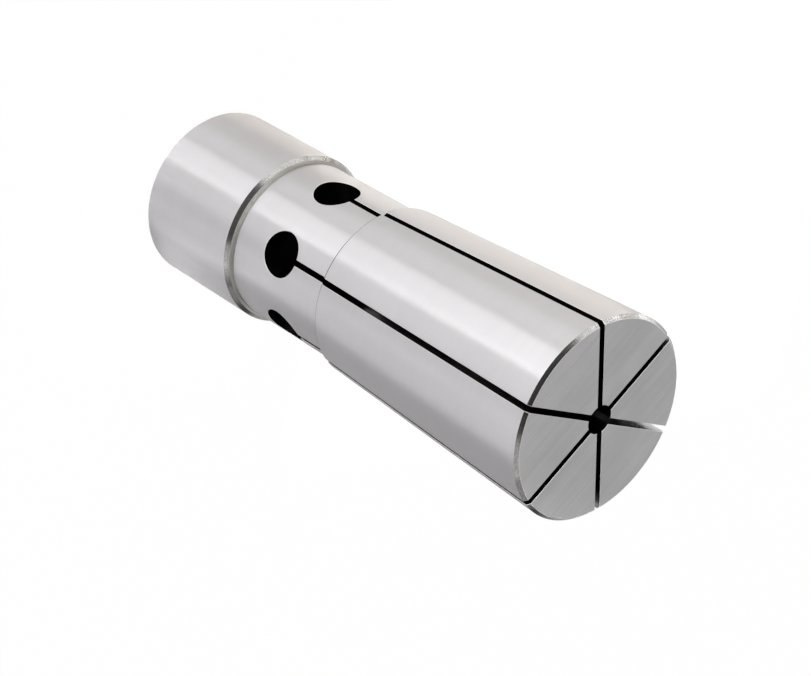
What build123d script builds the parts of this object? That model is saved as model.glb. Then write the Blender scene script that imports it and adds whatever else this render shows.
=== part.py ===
from build123d import *
import os
from math import radians, tan

# A spring collet turned, bored and slotted from one bar of spring steel.
# It stands on its rear face. The origin is the centre of that face, and +Z runs up the axis to the front face.
# The middle of one jaw lies on +X. Lengths are in millimetres and angles in degrees.

# Lengths along the axis, from the rear up
collar_length = 21.4
neck_length = 21.3
head_length = 47.3

# Outside diameters and steps, counted from the neck
neck_diameter = 26.3
collar_step = 1.05
head_step = 0.85
head_front_diameter = 32.0

# Bores
neck_wall = 3.15
grip_bore_diameter = 4.5
grip_bore_length = 32.0
bore_end_angle = 118.0

# Slots that part the jaws, and the round holes that end them
jaw_count = 6
slot_width = 0.95
relief_hole_diameter = 7.3
relief_hole_setback = 10.5

# Broken edges and the groove where the grinding wheel runs out
front_bevel = 0.55
collar_front_bevel = 0.6
collar_rear_bevel = 0.4
bore_mouth_bevel = 0.8
groove_width = 0.7
groove_depth = 0.15

# Heights and radii that follow from the sizes above
neck_top = collar_length + neck_length
overall_length = neck_top + head_length
neck_radius = neck_diameter / 2
collar_radius = neck_radius + collar_step
head_rear_radius = neck_radius + head_step
head_front_radius = head_front_diameter / 2
rear_bore_radius = neck_radius - neck_wall
grip_bore_radius = grip_bore_diameter / 2
outer_radius = max(collar_radius, head_rear_radius, head_front_radius)


def turned(*outline):
    """Turn a closed outline of (radius, height) points round the axis."""
    points = [(radius, 0, height) for radius, height in outline]
    return revolve(make_face(Polyline(*points, close=True)), Axis.Z)


def collar():
    """The plain rear ring, with both outer edges bevelled."""
    return turned(
        (0, 0),
        (collar_radius - collar_rear_bevel, 0),
        (collar_radius, collar_rear_bevel),
        (collar_radius, collar_length - collar_front_bevel),
        (collar_radius - collar_front_bevel, collar_length),
        (0, collar_length),
    )


def neck():
    """The thinner springing length, with a shallow groove at the foot of the collar's shoulder."""
    groove_top = collar_length + groove_width
    return turned(
        (0, collar_length),
        (neck_radius - groove_depth, collar_length),
        (neck_radius - groove_depth, groove_top - groove_depth),
        (neck_radius, groove_top),
        (neck_radius, neck_top),
        (0, neck_top),
    )


def head_radius_at(height):
    """Radius of the head's slow taper at a height above the rear face."""
    share = (height - neck_top) / head_length
    return head_rear_radius + share * (head_front_radius - head_rear_radius)


def head():
    """The tapered gripping head, with a bevel down to the neck and a bevelled front rim."""
    rear_bevel_top = neck_top + head_step
    front_bevel_foot = overall_length - front_bevel
    return turned(
        (0, neck_top),
        (neck_radius, neck_top),
        (head_radius_at(rear_bevel_top), rear_bevel_top),
        (head_radius_at(front_bevel_foot), front_bevel_foot),
        (head_radius_at(front_bevel_foot) - front_bevel, overall_length),
        (0, overall_length),
    )


def bores():
    """The wide bore from the rear, its drilled end, and the grip bore through the front face."""
    grip_bore_start = overall_length - grip_bore_length
    bore_end_height = (rear_bore_radius - grip_bore_radius) / tan(radians(bore_end_angle / 2))
    return turned(
        (0, 0),
        (rear_bore_radius + bore_mouth_bevel, 0),
        (rear_bore_radius, bore_mouth_bevel),
        (rear_bore_radius, grip_bore_start - bore_end_height),
        (grip_bore_radius, grip_bore_start),
        (grip_bore_radius, overall_length),
        (0, overall_length),
    )


def slot(angle):
    """One saw cut from the axis outwards, open at the front face, with its round relief hole through the neck."""
    hole_height = neck_top - relief_hole_setback
    reach = outer_radius + slot_width
    cut_height = overall_length - hole_height
    cut = Box(reach, slot_width, cut_height, align=(Align.MIN, Align.CENTER, Align.MIN))
    hole = Cylinder(relief_hole_diameter / 2, reach, align=(Align.CENTER, Align.CENTER, Align.MIN))
    return Rot(Z=angle) * Pos(Z=hole_height) * (cut + Rot(Y=90) * hole)


def spring_collet():
    """The whole collet as one solid."""
    body = collar() + neck() + head() - bores()
    for jaw in range(jaw_count):
        body -= slot((jaw + 0.5) * 360 / jaw_count)
    return body.solid()


os.makedirs("parts", exist_ok=True)
export_step(spring_collet(), "parts/collet_body.step")
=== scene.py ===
import bpy
from math import asin, atan2, cos, degrees, hypot, pi, radians, sin, sqrt, tan
from mathutils import Matrix, Vector


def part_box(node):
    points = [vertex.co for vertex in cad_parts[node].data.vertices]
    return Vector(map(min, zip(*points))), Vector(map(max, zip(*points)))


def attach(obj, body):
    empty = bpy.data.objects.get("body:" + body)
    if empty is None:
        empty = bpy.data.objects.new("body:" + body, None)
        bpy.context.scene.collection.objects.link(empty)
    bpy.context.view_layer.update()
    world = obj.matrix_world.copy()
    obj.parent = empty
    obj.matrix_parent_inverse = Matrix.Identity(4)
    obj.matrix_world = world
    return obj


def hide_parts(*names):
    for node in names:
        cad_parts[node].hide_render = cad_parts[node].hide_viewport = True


# A slotted spring collet of ground steel, standing on its rear face on a plain white floor.
# The visible collet is a fine mesh on the CAD body's own sizes, with broken edges along its cuts.

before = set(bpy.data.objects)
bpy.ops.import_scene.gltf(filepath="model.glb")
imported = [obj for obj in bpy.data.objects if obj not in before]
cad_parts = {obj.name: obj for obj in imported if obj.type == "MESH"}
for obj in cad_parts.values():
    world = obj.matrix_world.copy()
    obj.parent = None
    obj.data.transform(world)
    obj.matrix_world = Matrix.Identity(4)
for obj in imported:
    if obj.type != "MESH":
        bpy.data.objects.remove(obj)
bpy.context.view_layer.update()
collet_low, collet_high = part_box("collet_body")

# Sizes of the collet in millimetres and degrees, as the CAD body has them. The length comes from the frame.
MM = 0.001
overall_length = round((collet_high.z - collet_low.z) / MM, 3)
collar_length = 21.4
neck_length = 21.3
neck_diameter = 26.3
collar_step = 1.05
head_step = 0.85
head_front_diameter = 32.0
neck_wall = 3.15
grip_bore_diameter = 4.5
grip_bore_length = 32.0
bore_end_angle = 118.0
jaw_count = 6
slot_width = 0.95
relief_hole_diameter = 7.3
relief_hole_setback = 10.5
front_bevel = 0.55
collar_front_bevel = 0.6
collar_rear_bevel = 0.4
bore_mouth_bevel = 0.8
groove_width = 0.7
groove_depth = 0.15

# Widths of the broken edges, and of the narrow line at the top of the neck, below the head, which is painted
# near black as shade
edge_break = 0.05
shade_line_width = 0.055

# How fine the mesh is, and to how many digits the lengths and angles of a shared point agree
columns_per_half_jaw = 20
hole_steps = 32
length_digits = 4
angle_digits = 3

# Lengths, radii and angles that follow from the sizes above
neck_top = collar_length + neck_length
head_length = overall_length - neck_top
neck_radius = neck_diameter / 2
collar_radius = neck_radius + collar_step
head_rear_radius = neck_radius + head_step
head_front_radius = head_front_diameter / 2
rear_bore_radius = neck_radius - neck_wall
grip_bore_radius = grip_bore_diameter / 2
hole_radius = relief_hole_diameter / 2
hole_height = neck_top - relief_hole_setback
half_slot = slot_width / 2
half_jaw = pi / jaw_count

# Pairs of finishes that meet in a crisp edge, which isn't broken
crisp_pairs = ({"ground", "turned"}, {"ground", "specked"}, {"turned", "brushed"})


def head_radius_at(height):
    """Radius of the head's slow taper at a height above the rear face."""
    share = (height - neck_top) / head_length
    return head_rear_radius + share * (head_front_radius - head_rear_radius)


def section():
    """Corners up the outside and down the bores: (radius, height, finish of the run that starts there)."""
    groove_radius = neck_radius - groove_depth
    groove_top = collar_length + groove_width
    step_top = neck_top + head_step
    rim_foot = overall_length - front_bevel
    grip_bore_foot = overall_length - grip_bore_length
    drilled_length = (rear_bore_radius - grip_bore_radius) / tan(radians(bore_end_angle / 2))
    return [
        (rear_bore_radius + bore_mouth_bevel, 0.0, "faced"),
        (collar_radius - collar_rear_bevel, 0.0, "turned"),
        (collar_radius, collar_rear_bevel, "ground"),
        (collar_radius, collar_length - collar_front_bevel, "turned"),
        (collar_radius - collar_front_bevel, collar_length, "brushed"),
        (groove_radius, collar_length, "brushed"),
        (groove_radius, groove_top - groove_depth, "brushed"),
        (neck_radius, groove_top, "ground"),
        # The line at the top of the neck and the bevel behind the head are painted near black as shade
        (neck_radius, neck_top - shade_line_width, "painted_shade"),
        (neck_radius, neck_top, "painted_shade"),
        (head_radius_at(step_top), step_top, "ground"),
        (head_radius_at(rim_foot), rim_foot, "specked"),
        (head_radius_at(rim_foot) - front_bevel, overall_length, "faced"),
        (grip_bore_radius, overall_length, "bored"),
        (grip_bore_radius, grip_bore_foot, "bored"),
        (rear_bore_radius, grip_bore_foot - drilled_length, "bored"),
        (rear_bore_radius, bore_mouth_bevel, "turned"),
    ]


def run_normal(start, end):
    """Outward (radial, axial) normal of the run between two points of the section."""
    along = Vector((end[0] - start[0], end[1] - start[1])).normalized()
    return Vector((along.y, -along.x))


def broken_corners(corners):
    """The section with its outward corners cut back to narrow flats, apart from the crisp ones."""
    points = []
    for index, corner in enumerate(corners):
        before = corners[index - 1]
        after = corners[(index + 1) % len(corners)]
        first = run_normal(before, corner)
        second = run_normal(corner, after)
        outward = first.cross(second) > 0
        if outward and {before[2], corner[2]} not in crisp_pairs:
            near = Vector(corner[:2]) + Vector((first.y, -first.x)) * edge_break
            far = Vector(corner[:2]) + Vector((-second.y, second.x)) * edge_break
            # A broken corner after the painted-shade run is painted as shade too
            finish = "painted_shade" if before[2] == "painted_shade" else "broken_edge"
            points.append((near.x, near.y, finish))
            points.append((far.x, far.y, corner[2]))
        else:
            points.append(corner)
    return points


def inset_corner(before, corner, after, inset):
    """A point of the section, moved into the steel by the inset."""
    first = run_normal(before, corner)
    second = run_normal(corner, after)
    return Vector(corner[:2]) - (first + second) * inset / (1 + first.dot(second))


def hole_side(grow):
    """(half width, height) points up one side of a relief hole, from its foot to the slot."""
    radius = hole_radius + grow
    last = asin((half_slot + grow) / radius)
    points = []
    for step in range(hole_steps + 1):
        turn = pi + (last - pi) * step / hole_steps
        points.append((max(radius * sin(turn), 0.0), hole_height + radius * cos(turn)))
    return points


def wall_point(radius, half_width, height):
    """A point on the wall of a cut, from its distance to the axis, the cut's half width and its height."""
    return Vector((sqrt(radius ** 2 - half_width ** 2), half_width, height))


class Station:
    """One point of the section and, if a cut passes it, the cut's half width and a point on its wall."""

    def __init__(self, radius, height, finish, half_width=0.0, wall=None):
        self.radius = radius
        self.height = height
        self.finish = finish
        self.half_width = half_width
        self.wall = wall


def hole_stations(radius, finish, grow):
    """Stations up the side of a relief hole, on a run of the given radius."""
    result = []
    for grown, bare in zip(hole_side(grow), hole_side(0.0)):
        half_width, height = grown
        result.append(Station(radius, height, finish, half_width, wall_point(radius - grow, *bare)))
    return result


def stations():
    """The section with the slot and the relief hole taken out of it. Only outside edges are broken."""
    points = broken_corners(section())
    front = overall_length - edge_break / 2
    outside = max(index for index, point in enumerate(points) if point[1] > front)
    result = []
    for index, point in enumerate(points):
        after = points[(index + 1) % len(points)]
        grow = edge_break if index <= outside else 0.0
        if point[1] > hole_height:
            inset = inset_corner(points[index - 1], point, after, grow)
            result.append(Station(*point, half_slot + grow, wall_point(inset.x, half_slot, inset.y)))
        else:
            result.append(Station(*point))
        if (point[1] - hole_height) * (after[1] - hole_height) < 0:
            rows = hole_stations(point[0], point[2], grow)
            result += rows if after[1] > point[1] else reversed(rows)
    return result


# Normal of the saw cut's wall, on the side where y is positive
saw_cut_normal = Vector((0.0, -1.0, 0.0))


def hole_normal(point):
    """Normal of the relief hole's wall at a point on it, on the side where y is positive."""
    return Vector((0.0, -point.y, hole_height - point.z)).normalized()


def cut_normals(first, second):
    """Normals at two points of the cut's wall: of the saw cut, or of the relief hole that ends it."""
    slot_foot = hole_side(0.0)[-1][1]
    if (first.z + second.z) / 2 > slot_foot:
        return saw_cut_normal, saw_cut_normal
    return hole_normal(first), hole_normal(second)


def turned_normal(point, normal):
    """The (radial, axial) normal of a turned run, swung round to a point on it."""
    turn = atan2(point.y, point.x)
    return Vector((normal.x * cos(turn), normal.x * sin(turn), normal.y))


def ring(station):
    """Points round one station, from the cut to the middle of the jaw."""
    first = asin(station.half_width / station.radius)
    points = []
    for column in range(columns_per_half_jaw + 1):
        turn = first + (half_jaw - first) * column / columns_per_half_jaw
        points.append(Vector((station.radius * cos(turn), station.radius * sin(turn), station.height)))
    return points


def turned_run(before, lower, upper, after):
    """Quads of the run between two stations, and of the broken edge between the run and the cut."""
    start = end = run_normal((lower.radius, lower.height), (upper.radius, upper.height))
    if lower.finish == "broken_edge":
        start = run_normal((before.radius, before.height), (lower.radius, lower.height))
        end = run_normal((upper.radius, upper.height), (after.radius, after.height))
    rings = ring(lower), ring(upper)
    faces = []
    for column in range(columns_per_half_jaw):
        points = [rings[0][column], rings[0][column + 1], rings[1][column + 1], rings[1][column]]
        run_normals = (start, start, end, end)
        normals = [turned_normal(point, normal) for point, normal in zip(points, run_normals)]
        faces.append((points, normals, lower.finish))
    if lower.wall and upper.wall:
        points = [lower.wall, rings[0][0], rings[1][0], upper.wall]
        wall_start, wall_end = cut_normals(lower.wall, upper.wall)
        normals = [wall_start, turned_normal(points[1], start), turned_normal(points[2], end), wall_end]
        faces.append((points, normals, "broken_edge"))
    return faces


def half_jaw_faces():
    """Faces from the middle of one slot to the middle of the jaw beside it: (points, normals, finish)."""
    all_stations = stations()
    count = len(all_stations)
    faces = []
    for index in range(count):
        faces += turned_run(*[all_stations[(index + offset) % count] for offset in (-1, 0, 1, 2)])
    cut = [station.wall for station in all_stations if station.wall]
    for step in range(hole_steps):
        points = [cut[-1 - step], cut[step], cut[step + 1], cut[-2 - step]]
        faces.append((points, [hole_normal(point) for point in points], "drilled"))
    flank = cut[hole_steps:len(cut) - hole_steps]
    faces.append((flank, [saw_cut_normal] * len(flank), "sawn"))
    return faces


def half_jaws():
    """The slot, the side and the placing of each half jaw. Those beside one slot mirror each other."""
    mirror = Matrix.Diagonal((1, -1, 1))
    for slot in range(jaw_count):
        turn = Matrix.Rotation((2 * slot + 1) * half_jaw, 3, "Z")
        yield slot, 1, turn
        yield slot, -1, turn @ mirror


def shared_key(point, slot, side):
    """Rounded radius, azimuth and height of a placed point, the same for half jaws that meet in it."""
    azimuth = side * degrees(atan2(point.y, point.x)) + (2 * slot + 1) * degrees(half_jaw)
    return (
        round(hypot(point.x, point.y), length_digits),
        round(azimuth, angle_digits) % 360,
        round(point.z, length_digits),
    )


def collet_mesh():
    """All the half jaws' faces as one mesh with shared points, exact normals and a finish for each face."""
    vertices, found, polygons, normals, finishes = [], {}, [], [], []
    pattern = half_jaw_faces()
    for slot, side, place in half_jaws():
        for points, point_normals, finish in pattern:
            corners = {}
            for point, normal in list(zip(points, point_normals))[::side]:
                key = shared_key(point, slot, side)
                if key not in found:
                    found[key] = len(vertices)
                    vertices.append(place @ point * MM)
                corners.setdefault(found[key], (place @ normal).normalized())
            if len(corners) > 2:
                polygons.append(list(corners))
                normals += corners.values()
                finishes.append(finish_order.index(finish))
    mesh = bpy.data.meshes.new("turned_collet")
    mesh.from_pydata(vertices, [], polygons)
    mesh.shade_smooth()
    mesh.polygons.foreach_set("material_index", finishes)
    mesh.normals_split_custom_set(normals)
    return mesh


# The range that a noise pattern's values mostly lie in
noise_low = 0.3
noise_high = 0.7

# How slowly marks change along their lay, and which way they run across the end faces
lay_length_share = 0.02
face_lay_turn = radians(30)


class Nodes:
    """Short ways to add and join shader nodes."""

    def __init__(self, tree):
        self.tree = tree

    def add(self, kind, values=None, **settings):
        """A new node with its settings, and with a number or another node's output at each named input."""
        node = self.tree.nodes.new(kind)
        for name, value in settings.items():
            setattr(node, name, value)
        for socket, value in (values or {}).items():
            if isinstance(value, bpy.types.NodeSocket):
                self.tree.links.new(value, node.inputs[socket])
            else:
                node.inputs[socket].default_value = value
        return node

    def spots(self, place, scale, detail=2.0, roughness=0.5):
        """A noise pattern from 0 to 1. The scale is in features for each metre."""
        noise = self.add("ShaderNodeTexNoise", {
            "Vector": place, "Scale": scale, "Detail": detail, "Roughness": roughness})
        return noise.outputs["Fac"]

    def spread(self, value, middle, swing):
        """A noise pattern brought to a middle value and a swing to each side of it."""
        node = self.add("ShaderNodeMapRange", {
            "Value": value, "From Min": noise_low, "From Max": noise_high,
            "To Min": middle - swing, "To Max": middle + swing})
        return node.outputs["Result"]

    def maths(self, operation, first, second):
        """Two numbers joined by an operation."""
        node = self.add("ShaderNodeMath", {0: first, 1: second}, operation=operation)
        return node.outputs["Value"]

    def vector(self, operation, first, second):
        """Two vectors joined by an operation."""
        node = self.add("ShaderNodeVectorMath", {0: first, 1: second}, operation=operation)
        return node.outputs["Vector"]

    def scaled(self, vector, scale):
        """A vector or colour times a number."""
        node = self.add("ShaderNodeVectorMath", {0: vector, "Scale": scale}, operation="SCALE")
        return node.outputs["Vector"]

    def place(self):
        """Where a point is on the collet, in metres."""
        return self.add("ShaderNodeTexCoord").outputs["Object"]

    def radius(self):
        """How far a point is from the collet's axis, in metres."""
        across = self.vector("MULTIPLY", self.place(), (1.0, 1.0, 0.0))
        return self.add("ShaderNodeVectorMath", {0: across}, operation="LENGTH").outputs["Value"]

    def round_lay(self):
        """A place whose patterns run round the axis, as a lathe or cylindrical grinder leaves them."""
        place = self.place()
        split = self.add("ShaderNodeSeparateXYZ", {0: place})
        lay = self.add("ShaderNodeCombineXYZ", {"X": self.radius(), "Z": split.outputs["Z"]})
        return self.vector("ADD", lay.outputs["Vector"], self.scaled(place, lay_length_share))

    def straight_lay(self, turn):
        """A place whose patterns run straight across the end faces, as a surface grinder leaves them."""
        values = {"Vector": self.place(), "Angle": turn}
        turned = self.add("ShaderNodeVectorRotate", values, rotation_type="Z_AXIS")
        return self.vector("MULTIPLY", turned.outputs["Vector"], (lay_length_share, 1.0, 1.0))


def new_tree(name):
    """A material with an empty node tree."""
    material = bpy.data.materials.new(name)
    material.use_nodes = True
    material.node_tree.nodes.clear()
    return material, Nodes(material.node_tree)


# Patterns in the steel, in features for each metre, and the broad marks' scale as a share of the fine ones'
clouds_per_metre = 110.0
specks_per_metre = 4500.0
waves_per_metre = 160.0
broad_marks_scale = 0.12

# How strongly each pattern counts
fine_marks_share = 0.6
cloud_swing_share = 0.6
roughness_swing_share = 0.06

# What is left of the tone and of the edge tint where a finish is painted dark within, as shade deep in a cut
painted_shade_tone_share = 0.05
painted_shade_edge_share = 0.1

# The usual level of reflection, and a quarter turn of the stretched highlight
plain_specular = 0.5
quarter_turn = 0.25


def tool_marks(nodes, lay, marks_per_metre):
    """Fine and broad marks along the lay, as one pattern from 0 to 1."""
    fine = nodes.spots(lay, marks_per_metre, detail=3.0, roughness=0.6)
    broad = nodes.spots(lay, marks_per_metre * broad_marks_scale)
    fine_part = nodes.maths("MULTIPLY", fine, fine_marks_share)
    broad_part = nodes.maths("MULTIPLY", broad, 1.0 - fine_marks_share)
    return nodes.maths("ADD", fine_part, broad_part)


def steel_tone(nodes, marks, marks_swing, specks_swing):
    """How light the steel is at a point, about 1, from its marks, cloudy patches and fine specks."""
    place = nodes.place()
    clouds = nodes.spots(place, clouds_per_metre, detail=3.0)
    specks = nodes.spots(place, specks_per_metre, detail=1.0)
    marks_tone = nodes.spread(marks, 1.0, marks_swing)
    clouds_tone = nodes.spread(clouds, 1.0, marks_swing * cloud_swing_share)
    specks_tone = nodes.spread(specks, 1.0, specks_swing)
    return nodes.maths("MULTIPLY", nodes.maths("MULTIPLY", marks_tone, clouds_tone), specks_tone)


def steel_relief(nodes, marks, marks_depth, wave_depth):
    """The normal over tool marks and a slow wave, with their depths in millimetres."""
    waves = nodes.spots(nodes.place(), waves_per_metre, detail=1.0)
    marks_height = nodes.maths("MULTIPLY", marks, marks_depth * MM)
    waves_height = nodes.maths("MULTIPLY", waves, wave_depth * MM)
    height = nodes.maths("ADD", marks_height, waves_height)
    bump = nodes.add("ShaderNodeBump", {"Height": height, "Strength": 1.0, "Distance": 1.0})
    return bump.outputs["Normal"]


def painted_shade_within(nodes, shade_within_radius):
    """Painted shade: a share that grows to 1 from a radius, in millimetres, out to the head's front edge,
    darkening the colour deeper in.
    """
    fade = nodes.add("ShaderNodeMapRange", {
        "Value": nodes.radius(), "From Min": shade_within_radius * MM, "From Max": head_front_radius * MM,
        "To Min": painted_shade_tone_share, "To Max": 1.0})
    return fade.outputs["Result"]


def steel(name, colour, roughness, marks_per_metre, marks_depth, marks_swing, specks_swing=0.0,
          wave_depth=0.0, lay_turn=None, anisotropy=0.0, edge_tint=1.0, shine=1.0, shade_within_radius=None):
    """A bare steel finish. Its depths, and the radius within which it is painted dark as shade, are in
    millimetres.
    """
    material, nodes = new_tree(name)
    lay = nodes.round_lay() if lay_turn is None else nodes.straight_lay(lay_turn)
    marks = tool_marks(nodes, lay, marks_per_metre)
    tone = steel_tone(nodes, marks, marks_swing, specks_swing)
    edge = (edge_tint, edge_tint, edge_tint, 1.0)
    # Painted shade: colour and edge tint darkened towards the axis, deep in the cut
    if shade_within_radius is not None:
        fade = painted_shade_within(nodes, shade_within_radius)
        tone = nodes.maths("MULTIPLY", tone, fade)
        edge = nodes.scaled(edge[:3], nodes.maths("ADD", fade, painted_shade_edge_share))
    bsdf = nodes.add("ShaderNodeBsdfPrincipled", {
        "Base Color": nodes.scaled(colour, tone), "Metallic": shine,
        "Specular IOR Level": plain_specular * shine, "Specular Tint": edge,
        "Roughness": nodes.spread(marks, roughness, roughness * roughness_swing_share),
        "Normal": steel_relief(nodes, marks, marks_depth, wave_depth)})
    if anisotropy:
        tangent = nodes.add("ShaderNodeTangent", direction_type="RADIAL", axis="Z")
        nodes.tree.links.new(tangent.outputs["Tangent"], bsdf.inputs["Tangent"])
        bsdf.inputs["Anisotropic"].default_value = anisotropy
        bsdf.inputs["Anisotropic Rotation"].default_value = quarter_turn
    nodes.add("ShaderNodeOutputMaterial", {"Surface": bsdf.outputs["BSDF"]})
    return material


def ground_steel():
    """Cylinders and taper, ground to a satin shine, with the grinding marks running round."""
    return steel("ground_steel", (0.626, 0.610, 0.624), roughness=0.36, marks_per_metre=5000.0,
                 marks_depth=0.0010, marks_swing=0.02, wave_depth=0.018, anisotropy=1.0)


def faced_steel():
    """End faces, with faint straight grinding marks."""
    return steel("faced_steel", (0.60, 0.59, 0.60), roughness=0.34, marks_per_metre=3500.0,
                 marks_depth=0.0010, marks_swing=0.11, specks_swing=0.03, lay_turn=face_lay_turn)


def turned_steel():
    """Bevels, with strong lathe marks."""
    return steel("turned_steel", (0.44, 0.43, 0.42), roughness=0.18, marks_per_metre=6000.0,
                 marks_depth=0.0010, marks_swing=0.28, specks_swing=0.16)


def specked_steel():
    """The rim's bevel, with fine specks."""
    return steel("specked_steel", (0.43, 0.42, 0.41), roughness=0.18, marks_per_metre=5000.0,
                 marks_depth=0.0010, marks_swing=0.12, specks_swing=0.32)


def brushed_steel():
    """The collar's shoulder and the groove beside it, with fine rings."""
    return steel("brushed_steel", (0.58, 0.57, 0.55), roughness=0.35, marks_per_metre=6000.0,
                 marks_depth=0.0150, marks_swing=0.20, specks_swing=0.10)


def painted_shade_steel():
    """The small bevel behind the head and the line below it, painted near black and matt as shade."""
    return steel("painted_shade_steel", (0.03, 0.03, 0.03), roughness=0.70, marks_per_metre=5000.0,
                 marks_depth=0.0010, marks_swing=0.10, shine=0.0)


def bored_steel_painted_shade():
    """Bores, painted near black as the shade inside them."""
    return steel("bored_steel_painted_shade", (0.012, 0.012, 0.012), roughness=0.40, marks_per_metre=3000.0,
                 marks_depth=0.0020, marks_swing=0.10, edge_tint=0.1)


def drilled_steel_painted_shade():
    """Walls of the relief holes, painted near black as shade, and a little rough."""
    return steel("drilled_steel_painted_shade", (0.008, 0.008, 0.008), roughness=0.45, marks_per_metre=3000.0,
                 marks_depth=0.0020, marks_swing=0.10, edge_tint=0.1)


def sawn_steel_painted_shade():
    """Walls of the slots, with painted shade: near black deep within, and their own tone towards their
    mouths.
    """
    return steel("sawn_steel_painted_shade", (0.32, 0.32, 0.32), roughness=0.20, marks_per_metre=3000.0,
                 marks_depth=0.0004, marks_swing=0.10, shade_within_radius=11.5)


def painted_highlight_edge_steel():
    """Broken edges, their colour lightened as a painted highlight."""
    return steel("painted_highlight_edge_steel", (0.88, 0.87, 0.85), roughness=0.65, marks_per_metre=5000.0,
                 marks_depth=0.0010, marks_swing=0.04)


# The finishes, in the order of the mesh's material slots
finish_makers = {
    "ground": ground_steel,
    "faced": faced_steel,
    "turned": turned_steel,
    "specked": specked_steel,
    "brushed": brushed_steel,
    "painted_shade": painted_shade_steel,
    # Painted shade: near black on the line and bevel below the head
    "bored": bored_steel_painted_shade,
    "drilled": drilled_steel_painted_shade,
    "sawn": sawn_steel_painted_shade,
    "broken_edge": painted_highlight_edge_steel,
}
finish_order = list(finish_makers)


def visible_collet():
    """The collet that is seen, which stands in for the CAD body."""
    collet = bpy.data.objects.new("turned_collet", collet_mesh())
    bpy.context.scene.collection.objects.link(collet)
    for make_finish in finish_makers.values():
        collet.data.materials.append(make_finish())
    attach(collet, "root")
    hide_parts("collet_body")


# Shares of plain white that the floor and the room show to the camera and to the metal, and the room's level
camera_white_share = 0.99
floor_glossy_share = 0.12
world_glossy_share = 0.03
world_level = 0.03

# Colours of the studio and, as red, green and blue alone, of its lamps
plain_white = (1.0, 1.0, 1.0, 1.0)
floor_paint = (0.92, 0.92, 0.92, 1.0)
neutral = (1.0, 1.0, 1.0)
cool = (0.97, 0.96, 1.0)
pale = (1.0, 0.99, 0.97)
warm = (1.0, 0.97, 0.88)
amber = (1.0, 0.93, 0.76)

# Sizes of the studio, in metres
floor_half_width = 20.0
softbox_distance = 1.0
near_softbox_distance = 0.4
floor_lamp_height = 0.5
floor_lamp_spread = radians(2)


def white_share(nodes, glossy_share):
    """How much plain white a surface of the studio shows: nearly all to the camera, a share to the metal."""
    path = nodes.add("ShaderNodeLightPath")
    seen = nodes.maths("MAXIMUM", path.outputs["Is Camera Ray"], path.outputs["Is Transmission Ray"])
    mirrored = nodes.maths("MULTIPLY", path.outputs["Is Glossy Ray"], glossy_share)
    return nodes.maths("ADD", nodes.maths("MULTIPLY", seen, camera_white_share), mirrored)


def white_floor():
    """Pale matt paint, which takes the collet's shadow, under a share of plain white."""
    material, nodes = new_tree("white_floor")
    paint = nodes.add("ShaderNodeBsdfDiffuse", {"Color": floor_paint})
    white = nodes.add("ShaderNodeEmission", {"Color": plain_white, "Strength": 1.0})
    share = white_share(nodes, floor_glossy_share)
    both = nodes.add("ShaderNodeMixShader", {
        0: share, 1: paint.outputs["BSDF"], 2: white.outputs["Emission"]})
    nodes.add("ShaderNodeOutputMaterial", {"Surface": both.outputs["Shader"]})
    return material


def floor():
    """A wide plain floor."""
    half = floor_half_width
    mesh = bpy.data.meshes.new("floor")
    corners = [(-half, -half, 0), (half, -half, 0), (half, half, 0), (-half, half, 0)]
    mesh.from_pydata(corners, [], [(0, 1, 2, 3)])
    mesh.materials.append(white_floor())
    thing = bpy.data.objects.new("floor", mesh)
    bpy.context.scene.collection.objects.link(thing)


def studio():
    """A dim even room, white to the camera."""
    world = bpy.data.worlds.new("studio")
    world.use_nodes = True
    world.node_tree.nodes.clear()
    nodes = Nodes(world.node_tree)
    dim = nodes.add("ShaderNodeBackground", {"Color": plain_white, "Strength": world_level})
    white = nodes.add("ShaderNodeBackground", {"Color": plain_white, "Strength": 1.0})
    share = white_share(nodes, world_glossy_share)
    both = nodes.add("ShaderNodeMixShader", {
        0: share, 1: dim.outputs["Background"], 2: white.outputs["Background"]})
    nodes.add("ShaderNodeOutputWorld", {"Surface": both.outputs["Shader"]})
    bpy.context.scene.world = world


def area_lamp(name, width, height, energy, colour):
    """A rectangular lamp that the camera doesn't see, not yet placed."""
    data = bpy.data.lights.new(name, "AREA")
    data.shape = "RECTANGLE"
    data.size = width
    data.size_y = height
    data.energy = energy
    data.color = colour
    lamp = bpy.data.objects.new(name, data)
    lamp.visible_camera = False
    bpy.context.scene.collection.objects.link(lamp)
    return lamp


def softbox(name, azimuth, elevation, width, height, radiance, colour=neutral, distance=softbox_distance):
    """A soft lamp that faces the collet's middle. Azimuth is counted from +X, and sizes are in metres."""
    lamp = area_lamp(name, width, height, radiance * width * height * pi, colour)
    turn = radians(azimuth)
    rise = radians(elevation)
    out = Vector((cos(turn) * cos(rise), sin(turn) * cos(rise), sin(rise)))
    lamp.location = Vector((0, 0, collet_high.z / 2)) + out * distance
    lamp.rotation_euler = out.to_track_quat("Z", "Y").to_euler()


def floor_lamp(name, x, y, width, depth, energy, turn=0.0, colour=neutral):
    """A lamp with a narrow beam, straight over the floor. The collet's side mirrors the lit floor."""
    lamp = area_lamp(name, width, depth, energy, colour)
    lamp.data.spread = floor_lamp_spread
    lamp.location = (x, y, floor_lamp_height)
    lamp.rotation_euler = (0.0, 0.0, radians(turn))


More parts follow.
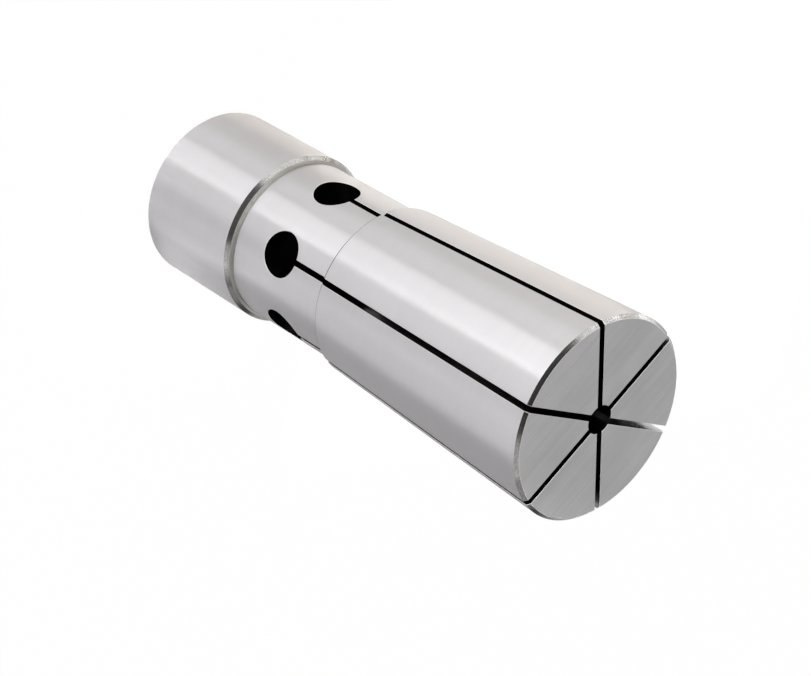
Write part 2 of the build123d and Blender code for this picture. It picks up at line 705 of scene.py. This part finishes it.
def front_lamps():
    """A bright strip with a brighter edge, between wide low panels that get dimmer on both sides."""
    softbox("strip", -127, 15, 0.45, 0.5, 6.2)
    softbox("strip_edge", -111, 15, 0.11, 0.5, 8.8)
    softbox("left_of_strip", -154, 15, 0.40, 0.5, 3.15, pale)
    softbox("left", -178, 9, 0.45, 0.3, 2.7, warm)
    softbox("right_of_strip", -94, 15, 0.39, 0.5, 3.8)
    softbox("right", -69, 15, 0.49, 0.5, 2.5, cool)
    softbox("far_right", -42, 15, 0.45, 0.5, 1.7, cool)


def back_lamps():
    """A dim panel behind the collet, and a low bright line beside it."""
    softbox("back", 103, 8, 0.94, 0.30, 1.4)
    softbox("back_left", 151, 1.0, 0.66, 0.05, 20.5, amber)


def filling_lamps():
    """Dim panels, most of them higher up, for the front face, the bevels and the darker side."""
    softbox("near_right", -45, 8, 0.30, 0.2, 0.55, distance=near_softbox_distance)
    softbox("high_left", -178, 33, 1.20, 0.43, 1.35)
    softbox("high_back", 75, 45, 0.60, 0.6, 0.68)
    softbox("high_right", 10, 45, 0.50, 0.6, 0.62)
    softbox("high_front_right", -28, 34, 0.80, 0.36, 0.62)
    softbox("low_right", 12, 18, 0.60, 0.34, 0.36)
    softbox("high_back_left", 132, 18, 0.80, 0.34, 1.25)


def floor_lamps():
    """Lamps over the floor to the right of the collet, behind it, and close behind its collar."""
    floor_lamp("over_floor", 0.022, -0.0015, 0.014, 0.038, 0.0016)
    floor_lamp("over_floor_behind", -0.020, 0.096, 0.13, 0.10, 0.54, 102)
    floor_lamp("over_floor_near", -0.0095, 0.0260, 0.014, 0.040, 0.012, 110, amber)


def camera():
    """The photograph's view: aim point and distance in metres, angles in degrees."""
    aim = Vector((0.004207, -0.001094, 0.051473))
    distance = 0.346014
    azimuth = radians(-104.572)
    elevation = radians(40.586)
    roll = radians(121.277)
    data = bpy.data.cameras.new("camera")
    data.sensor_width = 36.0
    data.lens = 101.597
    data.clip_start = 0.01
    thing = bpy.data.objects.new("camera", data)
    back = Vector((cos(azimuth) * cos(elevation), sin(azimuth) * cos(elevation), sin(elevation)))
    turn = back.to_track_quat("Z", "Y").to_matrix() @ Matrix.Rotation(roll, 3, "Z")
    thing.matrix_world = Matrix.Translation(aim + back * distance) @ turn.to_4x4()
    bpy.context.scene.collection.objects.link(thing)
    bpy.context.scene.camera = thing


visible_collet()
floor()
studio()
front_lamps()
back_lamps()
filling_lamps()
floor_lamps()
camera()
bpy.context.scene.view_settings.view_transform = "Standard"
